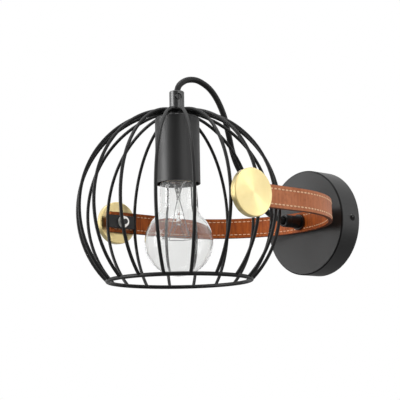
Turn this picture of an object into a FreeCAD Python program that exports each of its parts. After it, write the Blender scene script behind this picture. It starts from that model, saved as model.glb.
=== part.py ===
import FreeCAD, Part
import math
import os

os.makedirs("parts", exist_ok=True)

V = FreeCAD.Vector

# Wall sconce: a domed wire cage shade with a clear bulb, held by two brass thumb
# knobs in a leather covered yoke that stands out level from a round wall canopy.
# Millimetres. The origin is the centre of the canopy's back, on the wall. The
# light stands out along -Y, X runs along the wall and Z is up.

# Fits
overrun = 1.0               # every cutter runs this far past the face that it opens
thread_clearance = 0.05     # radial, a screw or tube in its own thread
hole_clearance = 0.25       # radial, a screw or tube through a plain hole
turning_gap = 0.1           # between flat faces that turn on each other
seat_gap = 0.05             # between pieces pushed together lengthwise

# Wall canopy and the crossbar inside it
canopy_radius = 50.8
canopy_depth = 23.0
canopy_wall = 1.5
canopy_edge_round = 1.2
bar_width = 14.0
bar_thickness = 2.0
bar_bend_round = 1.5
bar_ear_gap = 1.3           # from the ear to the canopy's wall, on the middle line
bar_ear_height = 17.0
wall_hole_spacing = 60.0
wall_slot_radius = 2.25
wall_slot_travel = 5.0      # from the middle of one round end to the other
side_screw_height = 8.8     # from the wall
side_screw_radius = 1.75
side_screw_tip = 2.0        # past the ear
side_head_radius = 3.3
side_head_height = 2.2
small_slot_width = 0.8
small_slot_depth = 0.7

# Wiring pieces on the crossbar
block_length = 20.0
block_width = 13.0
block_height = 11.0
block_offset = 16.0         # middle of the block from the middle of the bar
block_poles = 3
block_wire_radius = 1.7
block_wire_height = 3.6
block_well_radius = 1.9
block_screw_radius = 1.6
block_screw_length = 3.4
block_screw_sink = 1.2
earth_offset = 16.0
earth_screw_radius = 2.0
earth_head_radius = 3.8
earth_head_height = 2.4
earth_washer_radius = 4.6
earth_washer_thickness = 0.8
earth_screw_length = 1.6

# Hollow threaded tubes, the nuts on them and the collar behind the strap
tube_radius = 5.0
tube_bore_radius = 3.6
mount_tube_back = 4.5       # behind the nut, inside the canopy
locknut_flats = 14.0
locknut_thickness = 3.0
locknut_chamfer_share = 0.12
lock_washer_radius = 8.5
lock_washer_thickness = 1.0
collar_radius = 10.0
collar_length = 2.2

# Yoke: a leather strap, 2 layers sewn round a spring steel band
strap_width = 19.6
strap_thickness = 3.5
strap_cage_gap = 1.5        # an arm's inner face from the middle of the cage's wire
arm_run = 57.3              # straight part of an arm, up to the pivot
strap_overhang = 11.0       # arm end past the pivot
strap_edge_round = 0.6
band_width = 14.0
band_thickness = 1.5
band_end_margin = 3.0
band_hole_gap = 0.4

# Brass thumb knobs and their studs
knob_radius = 20.0
knob_thickness = 6.0
knob_edge_chamfer = 0.7
knob_bore_depth = 4.6
stud_radius = 2.5
stud_tip = 1.4              # past the nut
pivot_washer_radius = 5.6
pivot_washer_thickness = 1.0
pivot_nut_radius = 4.9       # a thin round nut with a spanner slot across its end
pivot_nut_thickness = 2.4
pivot_nut_slot = 0.8
pivot_spacer_radius = 6.0

# Cage: ribs on a sphere round the pivot, from a hub to an open bottom ring
cage_radius = 88.5          # middle of the wire
rib_count = 18
rib_wire_radius = 1.45
rib_lead = 0.8              # degrees, the ribs' turn from standing even about the pivots
ring_drop = 62.8            # bottom ring below the pivot
ring_wire_radius = 1.75
hub_radius = 9.8
hub_half_thickness = 1.7
plate_height = 12.0
plate_thickness = 2.0

# Lamp cup, lampholder and their fixings
cup_radius = 19.75
cup_wall = 1.0
cup_length = 59.5
cup_edge_round = 1.5
cup_washer_radius = 8.0
cup_washer_thickness = 4.3
holder_radius = 17.4
holder_recess = 7.5         # its lip above the cup's mouth
holder_skirt_length = 32.0
holder_neck_radius = 8.4
holder_neck_length = 8.0
holder_shoulder_length = 7.0
holder_lip_radius = 15.2
holder_lip_length = 1.6
shell_cap_gap = 0.35
shell_wall = 0.4
shell_length = 22.0
shell_floor_gap = 5.0
contact_width = 5.0
contact_thickness = 0.6
contact_foot_radius = 4.0
contact_foot_thickness = 1.0
shade_tube_in_holder = 6.0
shade_tube_in_gland = 7.0

# Clear bulb, a 60 mm globe on a neck, with a screw cap
globe_radius = 30.0
globe_hang = 55.05          # middle of the globe below the cap's edge
glass_wall = 0.8
shoulder_radius = 18.0
neck_radius = 16.3
neck_hang = 3.6             # top of the neck below the cap's edge
cap_radius = 13.1
cap_wall = 0.4
cap_reach = 3.9             # its edge below the holder's lip
cap_length = 20.0
cap_edge_round = 1.2
insulator_length = 3.0
insulator_top_radius = 6.0
tip_radius = 4.8
tip_height = 1.4
stem_root_radius = 11.0
stem_flare_radius = 4.6
stem_flare_hang = 3.6       # below the cap's edge
stem_press_radius = 1.9
stem_press_hang = 12.5      # below the cap's edge
stem_press_length = 5.0
stem_rod_radius = 1.0
stem_button_radius = 2.2
stem_button_length = 5.0
stem_length = 39.95         # from the cap's edge to the button's end
lead_radius = 0.35
lead_spread = 1.5
support_radius = 0.25
support_count = 4
filament_radius = 0.3
wreath_radius = 14.5
wreath_hang = 52.05         # filament below the cap's edge

# Cord grips
top_grip_radius = 6.7
top_grip_length = 16.5
grip_edge_chamfer = 0.5
grip_cord_clearance = 0.15
grip_mouth_radius = 4.4
grip_mouth_depth = 3.4
grip_screw_height = 10.7    # above the grip's foot
grip_screw_turn = 24.0      # degrees from +X towards the front
grip_screw_radius = 2.2
grip_screw_drop = 0.3       # its end below the grip's side
grip_sink_radius = 3.1
grip_sink_depth = 2.4
wall_grip_flange_radius = 7.6
wall_grip_flange_length = 2.8
wall_grip_radius = 5.9
wall_grip_length = 15.3
wall_grip_nut_radius = 5.9
wall_grip_nut_length = 6.5
wall_grip_mouth_radius = 4.2
wall_grip_mouth_depth = 2.2
wall_grip_spigot_radius = 3.6
wall_grip_spigot_length = 4.0
wall_tube_in_grip = 7.0

# Supply cord, from the top grip over the back of the cage to the wall grip
cord_radius = 2.75
CORD_ROUTE = [(0.0, -176.0, 100.0), (0.0, -176.0, 109.6), (0.0, -169.0, 117.0),
              (0.0, -160.5, 120.6), (0.0, -149.5, 121.1), (0.0, -134.0, 113.8),
              (-0.5, -121.3, 95.5), (-3.0, -113.5, 76.0), (-7.5, -106.0, 62.0),
              (-10.5, -98.5, 51.0), (-9.5, -90.5, 38.5), (-5.5, -79.5, 19.5),
              (0.0, -63.5, 0.0), (0.0, -44.0, 0.0)]

# Worked out from the sizes above
OUT = V(0, -1, 0)
UP = V(0, 0, 1)
HALF_TURN = 180.0
strap_outer = canopy_depth + collar_length
strap_inner = strap_outer + strap_thickness
strap_inner_radius = cage_radius + strap_cage_gap
arm_centre_distance = strap_inner + strap_inner_radius
pivot_distance = arm_centre_distance + arm_run
PIVOT = V(0, -pivot_distance, 0)
strap_end = pivot_distance + strap_overhang
rib_step = 360.0 / rib_count
plate_middle = cage_radius * math.cos(math.radians(rib_step / 2))
ring_angle = math.degrees(math.acos(-ring_drop / cage_radius))
ring_radius = cage_radius * math.sin(math.radians(ring_angle))
hub_height = math.sqrt(cage_radius ** 2 - hub_radius ** 2)
grip_foot = hub_height + hub_half_thickness
cup_top = hub_height - hub_half_thickness - cup_washer_thickness
cup_bottom = cup_top - cup_length
holder_bottom = cup_bottom + holder_recess
holder_top = holder_bottom + holder_skirt_length + holder_shoulder_length + holder_neck_length
shell_bottom = holder_bottom + holder_lip_length
shell_inner_radius = cap_radius + shell_cap_gap
cap_bottom = holder_bottom - cap_reach
cap_top = cap_bottom + cap_length
tip_top = cap_top + insulator_length + tip_height
neck_top = cap_bottom - neck_hang
neck_end_radius = cap_radius - cap_wall - seat_gap
stem_press_top = cap_bottom - stem_press_hang
stem_flare_low = cap_bottom - stem_flare_hang


def rod(radius, start, end, base, direction):
    """Round bar along direction, from start to end counted from base."""
    return Part.makeCylinder(radius, end - start, base + direction * start, direction)


def turned(outline):
    """Solid turned about Z from corners given as (radius, height)."""
    corners = [V(r, 0, h) for r, h in outline]
    face = Part.Face(Part.makePolygon(corners + corners[:1]))
    return face.revolve(V(), UP, 360)


def tube(outer, inner, start, end):
    """Ring or sleeve on Z between two heights."""
    return turned([(inner, start), (outer, start), (outer, end), (inner, end)])


def stood(shape, base, direction):
    """Copy of a shape made on Z, stood at base along direction."""
    placed = shape.copy()
    stand = FreeCAD.Placement(base, FreeCAD.Rotation(UP, direction))
    placed.Placement = stand.multiply(placed.Placement)
    return placed


def rims(shape, radius, height):
    """The round edges of a turned shape at one radius and height."""
    found = []
    for edge in shape.Edges:
        curve = edge.Curve
        if isinstance(curve, Part.Circle) and abs(curve.Radius - radius) < seat_gap:
            if abs(curve.Center.z - height) < seat_gap:
                found.append(edge)
    return found


def block(length, depth, height, low):
    """Box centred on X and Y that starts at the height low."""
    return Part.makeBox(length, depth, height, V(-length / 2, -depth / 2, low))


def hexagon(flats, thickness, bore, low):
    """Nut on Z with its corners turned off on both faces."""
    points = []
    for i in range(7):
        turn = math.radians(60 * i)
        points.append(V(math.cos(turn), math.sin(turn), 0) * (flats / math.sqrt(3)) + UP * low)
    nut = Part.Face(Part.makePolygon(points)).extrude(UP * thickness)
    corner = flats / math.sqrt(3)
    cut = thickness * locknut_chamfer_share
    drum = turned([(0, low), (flats / 2, low), (corner, low + cut),
                   (corner, low + thickness - cut), (flats / 2, low + thickness),
                   (0, low + thickness)])
    return nut.common(drum).cut(rod(bore, low - overrun, low + thickness + overrun, V(), UP))


def slotted(shape, width, depth, top):
    """Screwdriver slot along X across the top of a shape made on Z."""
    reach = shape.BoundBox.DiagonalLength
    return shape.cut(block(reach, width, depth + overrun, top - depth))


def mirrored(shape):
    """The same piece on the other side of the middle plane."""
    return shape.mirror(V(), V(1, 0, 0))


def pair(shape):
    """A piece and its mate on the other arm, as two solids."""
    return Part.makeCompound([shape, mirrored(shape)])


# Canopy and crossbar, made on Z with the wall at height zero

def canopy_cover():
    outer = rod(canopy_radius, 0, canopy_depth, V(), UP)
    outer = outer.makeFillet(canopy_edge_round, rims(outer, canopy_radius, canopy_depth))
    inner_radius = canopy_radius - canopy_wall
    inner = rod(inner_radius, -overrun, canopy_depth - canopy_wall, V(), UP)
    inner_round = canopy_edge_round - canopy_wall / 2
    inner = inner.makeFillet(inner_round, rims(inner, inner_radius, canopy_depth - canopy_wall))
    cup = outer.cut(inner)
    cup = cup.cut(rod(tube_radius + hole_clearance, 0, canopy_depth + overrun, V(), UP))
    for side in (1, -1):
        across = V(side, 0, 0)
        cup = cup.cut(rod(side_screw_radius + hole_clearance, inner_radius - overrun,
                          canopy_radius + overrun, UP * side_screw_height, across))
    return stood(cup, V(), OUT)


def ear_face():
    """Distance of an ear's outer face from the middle plane."""
    return canopy_radius - canopy_wall - bar_ear_gap


def wall_slot():
    """Cutter for one slot, long way along X."""
    half = wall_slot_travel / 2
    ends = [rod(wall_slot_radius, -overrun, bar_thickness + overrun, V(x, 0, 0), UP)
            for x in (-half, half)]
    middle = block(wall_slot_travel, 2 * wall_slot_radius, bar_thickness + 2 * overrun, -overrun)
    return ends[0].fuse([ends[1], middle])


def wall_bracket():
    reach = ear_face()
    outer = block(2 * reach, bar_width, bar_ear_height, 0)
    inner = block(2 * (reach - bar_thickness), bar_width + 2 * overrun,
                  bar_ear_height + overrun, bar_thickness)
    bent = outer.cut(inner)

    def bends(x, height):
        return [e for e in bent.Edges if abs(abs(e.CenterOfMass.x) - x) < seat_gap
                and abs(e.CenterOfMass.z - height) < seat_gap and e.Length > bar_width - seat_gap]

    outside = bends(reach, 0)
    bent = bent.makeFillet(bar_bend_round + bar_thickness, outside)
    bent = bent.makeFillet(bar_bend_round, bends(reach - bar_thickness, bar_thickness))
    for side in (1, -1):
        slot = wall_slot()
        slot.translate(V(side * wall_hole_spacing / 2, 0, 0))
        bent = bent.cut(slot)
        bent = bent.cut(rod(side_screw_radius + thread_clearance,
                            reach - bar_thickness - overrun, reach + overrun,
                            UP * side_screw_height, V(side, 0, 0)))
    earth = rod(earth_screw_radius + thread_clearance, -overrun, bar_thickness + overrun,
                V(earth_offset, 0, 0), UP)
    return stood(bent.cut(earth), V(), OUT)


def domed_head(radius, height, low):
    """Screw head with a round top, on Z."""
    ball = (radius ** 2 + height ** 2) / (2 * height)
    sphere = Part.makeSphere(ball, V(0, 0, low + height - ball))
    return sphere.common(rod(radius, low, low + height, V(), UP))


def canopy_side_screws():
    tip = ear_face() - bar_thickness - side_screw_tip
    head = domed_head(side_head_radius, side_head_height, canopy_radius)
    head = slotted(head, small_slot_width, small_slot_depth, canopy_radius + side_head_height)
    screw = head.fuse(rod(side_screw_radius, tip, canopy_radius, V(), UP))
    return pair(stood(screw, OUT * side_screw_height, V(1, 0, 0)))


def block_pitch():
    """Distance between two poles of the terminal block."""
    return block_length / block_poles


def pole_offsets():
    return [(i - (block_poles - 1) / 2) * block_pitch() - block_offset
            for i in range(block_poles)]


def terminal_block():
    low = bar_thickness
    body = block(block_length, block_width, block_height, low)
    body.translate(V(-block_offset, 0, 0))
    wire_height = low + block_wire_height
    top = low + block_height
    for x in pole_offsets():
        body = body.cut(rod(block_wire_radius, -block_width, block_width,
                            V(x, 0, wire_height), V(0, 1, 0)))
        body = body.cut(rod(block_well_radius, wire_height, top + overrun, V(x, 0, 0), UP))
    return stood(body, V(), OUT)


def terminal_screws():
    low = bar_thickness + block_height - block_screw_sink - block_screw_length
    screw = rod(block_screw_radius, low, low + block_screw_length, V(), UP)
    screw = slotted(screw, small_slot_width, small_slot_depth, low + block_screw_length)
    screws = []
    for x in pole_offsets():
        one = screw.copy()
        one.translate(V(x, 0, 0))
        screws.append(stood(one, V(), OUT))
    return Part.makeCompound(screws)


def earth_screw():
    seat = bar_thickness + earth_washer_thickness
    head = domed_head(earth_head_radius, earth_head_height, seat)
    head = slotted(head, small_slot_width, small_slot_depth, seat + earth_head_height)
    screw = head.fuse(rod(earth_screw_radius, bar_thickness - earth_screw_length, seat, V(), UP))
    screw.translate(V(earth_offset, 0, 0))
    return stood(screw, V(), OUT)


def earth_washer():
    ring = tube(earth_washer_radius, earth_screw_radius + hole_clearance, bar_thickness,
                bar_thickness + earth_washer_thickness)
    ring.translate(V(earth_offset, 0, 0))
    return stood(ring, V(), OUT)


def mount_washer():
    top = canopy_depth - canopy_wall
    ring = tube(lock_washer_radius, tube_radius + hole_clearance,
                top - lock_washer_thickness, top)
    return stood(ring, V(), OUT)


def mount_locknut():
    low = canopy_depth - canopy_wall - lock_washer_thickness - locknut_thickness
    nut = hexagon(locknut_flats, locknut_thickness, tube_radius + thread_clearance, low)
    return stood(nut, V(), OUT)


def mount_tube():
    nut_back = canopy_depth - canopy_wall - lock_washer_thickness - locknut_thickness
    sleeve = tube(tube_radius, tube_bore_radius, nut_back - mount_tube_back,
                  strap_inner + wall_tube_in_grip)
    return stood(sleeve, V(), OUT)


def yoke_drum(radius):
    """Upright drum on the middle of the yoke's half round."""
    height = strap_width + 2 * overrun
    return Part.makeCylinder(radius, height, V(0, -arm_centre_distance, -height / 2), UP)


def strap_collar():
    sleeve = stood(tube(collar_radius, tube_radius + hole_clearance, canopy_depth, strap_inner),
                   V(), OUT)
    return sleeve.cut(yoke_drum(strap_inner_radius + strap_thickness))


# Yoke layers, drawn in plan and raised to their width

def u_band(offset, thickness, width, end_distance):
    """Band bent to the yoke's line, offset outwards from its inner face."""
    centre = -arm_centre_distance
    back = -end_distance
    near = strap_inner_radius + offset
    far = near + thickness
    low = -width / 2
    half_turn = 0.5 * math.pi

    def corner(radius, turn):
        return V(radius * math.cos(turn), centre + radius * math.sin(turn), low)

    edges = []
    for radius in (near, far):
        edges.append(Part.Arc(corner(radius, 0), corner(radius, half_turn),
                              corner(radius, 2 * half_turn)).toShape())
        for side in (1, -1):
            edges.append(Part.LineSegment(V(side * radius, centre, low),
                                          V(side * radius, back, low)).toShape())
    for side in (1, -1):
        edges.append(Part.LineSegment(V(side * near, back, low), V(side * far, back, low)).toShape())
    outline = Part.Wire(Part.__sortEdges__(edges))
    return Part.Face(outline).extrude(UP * width)


def strap_holes(layer, gap):
    """Opens a layer for the mounting tube and the two studs."""
    layer = layer.cut(rod(tube_radius + gap, strap_outer - overrun, strap_inner + overrun,
                          V(), OUT))
    reach = strap_inner_radius + strap_thickness + overrun
    return layer.cut(rod(stud_radius + gap, -reach, reach, PIVOT, V(1, 0, 0)))


def strap_band():
    offset = (strap_thickness - band_thickness) / 2
    band = u_band(offset, band_thickness, band_width, strap_end - band_end_margin)
    return strap_holes(band, band_hole_gap)


def strap_layer(offset):
    half = strap_thickness / 2
    layer = u_band(offset, half, strap_width, strap_end)
    face = strap_inner_radius + (strap_thickness if offset else 0)
    edges = []
    for edge in layer.Edges:
        box = edge.BoundBox
        on_face = any(abs(abs(v.X) - face) < seat_gap for v in edge.Vertexes)
        if on_face and edge.Length > strap_overhang and box.ZLength < seat_gap:
            edges.append(edge)
    layer = layer.makeFillet(strap_edge_round, edges)
    core = u_band((strap_thickness - band_thickness) / 2, band_thickness, band_width,
                  strap_end - band_end_margin)
    return strap_holes(layer.cut(core), hole_clearance)


def strap_outer_leather():
    return strap_layer(strap_thickness / 2)


def strap_inner_leather():
    return strap_layer(0)


# Wall grip, on the strap's inner face

def wall_grip_body():
    foot = strap_inner
    neck = foot + wall_grip_length
    shape = turned([(0, foot - overrun), (wall_grip_flange_radius, foot - overrun),
                    (wall_grip_flange_radius, foot + wall_grip_flange_length),
                    (wall_grip_radius, foot + wall_grip_flange_length),
                    (wall_grip_radius, neck - grip_edge_chamfer),
                    (wall_grip_radius - grip_edge_chamfer, neck), (wall_grip_spigot_radius, neck),
                    (wall_grip_spigot_radius, neck + wall_grip_spigot_length),
                    (0, neck + wall_grip_spigot_length)])
    shape = shape.cut(rod(tube_radius + thread_clearance, foot - 2 * overrun,
                          foot + wall_tube_in_grip + seat_gap, V(), UP))
    shape = shape.cut(rod(cord_radius + grip_cord_clearance, foot,
                          neck + wall_grip_spigot_length + overrun, V(), UP))
    return stood(shape, V(), OUT).common(yoke_drum(strap_inner_radius))


def wall_grip_nut():
    low = strap_inner + wall_grip_length + seat_gap
    high = low + wall_grip_nut_length
    spigot_top = low + wall_grip_spigot_length
    bore = cord_radius + grip_cord_clearance
    thread = wall_grip_spigot_radius + thread_clearance
    shape = turned([(thread, low), (wall_grip_nut_radius, low),
                    (wall_grip_nut_radius, high - grip_edge_chamfer),
                    (wall_grip_nut_radius - grip_edge_chamfer, high),
                    (wall_grip_mouth_radius, high), (bore, high - wall_grip_mouth_depth),
                    (bore, spigot_top), (thread, spigot_top)])
    return stood(shape, V(), OUT)


# Knobs and pivot, made for the +X arm with the strap's outer face at height zero

def knob_face():
    return PIVOT + V(strap_inner_radius + strap_thickness, 0, 0)


def knob():
    low = turning_gap
    high = low + knob_thickness
    rim = knob_radius - knob_edge_chamfer
    shape = turned([(0, low), (rim, low), (knob_radius, low + knob_edge_chamfer),
                    (knob_radius, high - knob_edge_chamfer), (rim, high), (0, high)])
    bore = rod(stud_radius + thread_clearance, 0, low + knob_bore_depth, V(), UP)
    return stood(shape.cut(bore), knob_face(), V(1, 0, 0))


def plate_faces():
    """Inner and outer face of the cage plate, from the middle plane."""
    return plate_middle - plate_thickness / 2, plate_middle + plate_thickness / 2


def knob_stud():
    plate_in = plate_faces()[0]
    nut_in = plate_in - pivot_washer_thickness - pivot_nut_thickness
    outer = strap_inner_radius + strap_thickness + turning_gap + knob_bore_depth - seat_gap
    return rod(stud_radius, nut_in - stud_tip, outer, PIVOT, V(1, 0, 0))


def pivot_spacers():
    bore = stud_radius + thread_clearance
    ring = tube(pivot_spacer_radius, bore, plate_faces()[1], strap_inner_radius - turning_gap)
    return pair(stood(ring, PIVOT, V(1, 0, 0)))


def pivot_washers():
    plate_in = plate_faces()[0]
    ring = tube(pivot_washer_radius, stud_radius + hole_clearance,
                plate_in - pivot_washer_thickness, plate_in)
    return pair(stood(ring, PIVOT, V(1, 0, 0)))


def pivot_nuts():
    low = plate_faces()[0] - pivot_washer_thickness - pivot_nut_thickness
    nut = tube(pivot_nut_radius, stud_radius + thread_clearance, low, low + pivot_nut_thickness)
    reach = nut.BoundBox.DiagonalLength
    slot = block(reach, pivot_nut_slot, pivot_nut_slot + overrun, low - overrun)
    return pair(stood(nut.cut(slot), PIVOT, V(1, 0, 0)))


# Cage, made round its own centre

def cage_hub_blank():
    return rod(hub_radius, hub_height - hub_half_thickness, hub_height + hub_half_thickness,
               V(), UP)


def ring_blank():
    return Part.makeTorus(ring_radius, ring_wire_radius, V(0, 0, -ring_drop), UP)


def rib_blank():
    """One rib in the XZ plane, from inside the hub to the middle of the ring's wire."""
    start = math.degrees(math.asin((hub_radius - rib_wire_radius) / cage_radius))
    end = ring_angle
    section = Part.Face(Part.Wire(Part.makeCircle(rib_wire_radius, V(0, 0, cage_radius),
                                                  V(1, 0, 0))))
    section.rotate(V(), V(0, 1, 0), start)
    return section.revolve(V(), V(0, 1, 0), end - start)


def rib_turns():
    """The ribs straddle the pivots, the first one a little over half a step from one."""
    return [rib_step * (i + 0.5) + rib_lead for i in range(rib_count)]


def cage_ribs():
    rib = rib_blank().cut(cage_hub_blank()).cut(ring_blank())
    ribs = []
    for turn in rib_turns():
        one = rib.copy()
        one.rotate(V(), UP, turn)
        one.translate(PIVOT)
        ribs.append(one)
    return Part.makeCompound(ribs)


def cage_ring():
    ring = ring_blank()
    ring.translate(PIVOT)
    return ring


def cage_hub():
    hub = cage_hub_blank().cut(rod(tube_radius + hole_clearance, 0, grip_foot + overrun,
                                   V(), UP))
    hub.translate(PIVOT)
    return hub


def cage_plates():
    turns = (rib_lead - rib_step / 2, rib_lead + rib_step / 2)
    near, far = [cage_radius * math.sin(math.radians(turn)) for turn in turns]
    plate = Part.makeBox(plate_thickness, far - near, plate_height,
                         V(plate_faces()[0], near, -plate_height / 2))
    for turn in turns:
        rib = rib_blank()
        rib.rotate(V(), UP, turn)
        plate = plate.cut(rib)
    bore = rod(stud_radius + hole_clearance, 0, cage_radius + overrun, V(), V(1, 0, 0))
    plate = plate.cut(bore)
    other = plate.copy()
    other.rotate(V(), UP, HALF_TURN)
    plates = Part.makeCompound([plate, other])
    plates.translate(PIVOT)
    return plates


# Lamp cup and lampholder, made on Z with the pivot at height zero

def lamp_cup():
    outer = rod(cup_radius, cup_bottom, cup_top, V(), UP)
    outer = outer.makeFillet(cup_edge_round, rims(outer, cup_radius, cup_top))
    inner = rod(cup_radius - cup_wall, cup_bottom - overrun, cup_top - cup_wall, V(), UP)
    cup = outer.cut(inner)
    cup = cup.cut(rod(tube_radius + hole_clearance, cup_bottom, cup_top + overrun, V(), UP))
    return stood(cup, PIVOT, UP)


def cup_washer():
    ring = tube(cup_washer_radius, tube_radius + hole_clearance, cup_top,
                hub_height - hub_half_thickness)
    return stood(ring, PIVOT, UP)


def shade_locknut():
    low = cup_top - cup_wall - locknut_thickness
    nut = hexagon(locknut_flats, locknut_thickness, tube_radius + thread_clearance, low)
    return stood(nut, PIVOT, UP)


def shade_tube():
    sleeve = tube(tube_radius, tube_bore_radius, holder_top - shade_tube_in_holder,
                  grip_foot + shade_tube_in_gland)
    return stood(sleeve, PIVOT, UP)


def lampholder_body():
    skirt_top = holder_bottom + holder_skirt_length
    neck_foot = skirt_top + holder_shoulder_length
    bore = shell_inner_radius + shell_wall + seat_gap
    floor = shell_bottom + shell_length
    shape = turned([(0, holder_bottom), (holder_radius, holder_bottom), (holder_radius, skirt_top),
                    (holder_neck_radius, neck_foot), (holder_neck_radius, holder_top),
                    (0, holder_top)])
    shape = shape.cut(rod(holder_lip_radius, holder_bottom - overrun, shell_bottom, V(), UP))
    shape = shape.cut(rod(bore, shell_bottom - overrun, floor + seat_gap, V(), UP))
    shape = shape.cut(rod(contact_foot_radius + seat_gap, floor - overrun,
                          floor + shell_floor_gap, V(), UP))
    shape = shape.cut(rod(tube_radius + thread_clearance, holder_top - shade_tube_in_holder
                          - seat_gap, holder_top + overrun, V(), UP))
    shape = shape.cut(rod(tube_bore_radius, floor, holder_top, V(), UP))
    return stood(shape, PIVOT, UP)


def lampholder_shell():
    outer = shell_inner_radius + shell_wall
    top = shell_bottom + shell_length
    shape = turned([(shell_inner_radius, shell_bottom), (outer, shell_bottom), (outer, top),
                    (contact_foot_radius + contact_width, top),
                    (contact_foot_radius + contact_width, top - shell_wall),
                    (shell_inner_radius, top - shell_wall)])
    return stood(shape, PIVOT, UP)


def lampholder_contact():
    """Springy tongue: a foot on the holder's floor, a slanted leaf and a flat that the cap meets."""
    floor = shell_bottom + shell_length + shell_floor_gap
    foot = rod(contact_foot_radius, floor - contact_foot_thickness, floor, V(), UP)
    meet = tip_top + turning_gap
    leg = block(contact_thickness, contact_width, floor - contact_foot_thickness - meet, meet)
    flat = block(2 * contact_foot_radius, contact_width, contact_thickness, meet)
    return stood(foot.fuse([leg, flat]), PIVOT, UP)


# Bulb, made on Z with the pivot at height zero

def glass_face(inset):
    """Half outline of the glass, closed on the axis and drawn in by inset."""
    globe = globe_radius - inset
    hollow = shoulder_radius + inset
    neck = neck_radius - inset
    end = neck_end_radius - inset
    middle = cap_bottom - globe_hang
    rise = math.sqrt((globe + hollow) ** 2 - (neck + hollow) ** 2)
    turn = math.atan2(rise, neck + hollow)
    hollow_centre = V(neck + hollow, 0, middle + rise)
    globe_centre = V(0, 0, middle)

    def on(centre, radius, angle):
        return centre + V(math.cos(angle), 0, math.sin(angle)) * radius

    bottom = on(globe_centre, globe, -math.pi / 2)
    leave = on(globe_centre, globe, turn)
    meet = on(hollow_centre, hollow, math.pi)
    top = V(neck, 0, neck_top)
    rim = V(end, 0, cap_bottom - seat_gap)
    finish = V(end, 0, cap_bottom + cap_edge_round + glass_wall)
    edges = [Part.Arc(bottom, on(globe_centre, globe, (turn - math.pi / 2) / 2), leave),
             Part.Arc(leave, on(hollow_centre, hollow, math.pi + turn / 2), meet),
             Part.LineSegment(meet, top), Part.LineSegment(top, rim),
             Part.LineSegment(rim, finish), Part.LineSegment(finish, V(0, 0, finish.z)),
             Part.LineSegment(V(0, 0, finish.z), bottom)]
    return Part.Face(Part.Wire([e.toShape() for e in edges]))


def bulb_glass():
    outer = glass_face(0).revolve(V(), UP, 360)
    inner = glass_face(glass_wall).revolve(V(), UP, 360)
    bore = rod(neck_end_radius - glass_wall, cap_bottom, cap_bottom + cap_length, V(), UP)
    return stood(outer.cut(inner).cut(bore), PIVOT, UP)


def bulb_cap():
    outer = rod(cap_radius, cap_bottom, cap_top, V(), UP)
    outer = outer.makeFillet(cap_edge_round, rims(outer, cap_radius, cap_top))
    inner = rod(cap_radius - cap_wall, cap_bottom - overrun, cap_top - cap_wall, V(), UP)
    mouth = rod(insulator_top_radius, cap_top - cap_wall - overrun, cap_top + overrun, V(), UP)
    return stood(outer.cut(inner).cut(mouth), PIVOT, UP)


def bulb_insulator():
    foot = insulator_top_radius - seat_gap
    ledge = cap_radius - cap_edge_round - cap_wall
    top = cap_top + insulator_length
    shape = turned([(0, cap_top - cap_wall), (foot, cap_top - cap_wall), (foot, cap_top),
                    (ledge, cap_top), (insulator_top_radius, top), (0, top)])
    return stood(shape, PIVOT, UP)


def bulb_tip():
    low = cap_top + insulator_length
    return stood(domed_head(tip_radius, tip_height, low), PIVOT, UP)


def stem_foot():
    return cap_bottom - stem_length


def bulb_stem():
    root = cap_bottom + glass_wall
    press_low = stem_press_top - stem_press_length
    low = stem_foot()
    button = low + stem_button_length
    rim = neck_end_radius - glass_wall - seat_gap
    shape = turned([(0, root + cap_edge_round), (rim, root + cap_edge_round), (rim, root),
                    (stem_root_radius, root - glass_wall), (stem_flare_radius, stem_flare_low),
                    (stem_press_radius, stem_press_top),
                    (stem_press_radius, press_low), (stem_rod_radius, press_low),
                    (stem_rod_radius, button), (stem_button_radius, button),
                    (stem_button_radius, low), (0, low)])
    hollow = turned([(0, root + cap_edge_round + overrun),
                     (stem_root_radius - glass_wall, root + cap_edge_round + overrun),
                     (stem_root_radius - glass_wall, root),
                     (stem_flare_radius - glass_wall, stem_flare_low),
                     (stem_press_radius - glass_wall, stem_press_top), (0, stem_press_top)])
    return stood(shape.cut(hollow), PIVOT, UP)


def wire_line(points, radius):
    """Round wire through points, with a ball at each bend."""
    pieces = []
    for a, b in zip(points, points[1:]):
        pieces.append(Part.makeCylinder(radius, (b - a).Length, a, b - a))
    for point in points[1:-1]:
        pieces.append(Part.makeSphere(radius, point))
    return pieces[0].fuse(pieces[1:]) if len(pieces) > 1 else pieces[0]


def wreath_point(turn):
    """A point of the filament's ring, turned from the first lead."""
    turn = math.radians(turn)
    level = UP * (cap_bottom - wreath_hang)
    return V(math.cos(turn), math.sin(turn), 0) * wreath_radius + level


def wreath_turns():
    """The supports share the way round between the two leads."""
    share = support_count // 2 + 1
    return [HALF_TURN * i / share for i in range(1, 2 * share) if i != share]


def bulb_leads():
    press_low = stem_press_top - stem_press_length
    wires = []
    for side in (1, -1):
        top = V(side * lead_spread, 0, press_low)
        end = wreath_point(0 if side > 0 else HALF_TURN)
        wires.append(wire_line([top, end], lead_radius))
    shape = Part.makeCompound(wires)
    return stood(shape, PIVOT, UP)


def filament_strands(radius):
    """The filament's two halves, each from one lead past the supports to the other."""
    turns = [0] + [t for t in wreath_turns() if t < HALF_TURN] + [HALF_TURN]
    gap = math.degrees(2 * lead_radius / wreath_radius)
    strands = []
    for sign in (1, -1):
        points = [wreath_point(sign * min(max(t, gap), HALF_TURN - gap)) for t in turns]
        strands.append(wire_line(points, radius))
    return strands


def bulb_supports():
    """Wires from the stem's button out to the filament, ended on both surfaces."""
    low = stem_foot()
    button = rod(stem_button_radius + seat_gap, low, low + stem_button_length, V(), UP)
    strands = filament_strands(filament_radius + seat_gap)
    wires = []
    for turn in wreath_turns():
        end = wreath_point(turn)
        out = V(end.x, end.y, 0).normalize()
        start = out * (stem_button_radius / 2) + UP * (low + stem_button_length / 2)
        wires.append(wire_line([start, end], support_radius).cut([button] + strands))
    return stood(Part.makeCompound(wires), PIVOT, UP)


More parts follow.
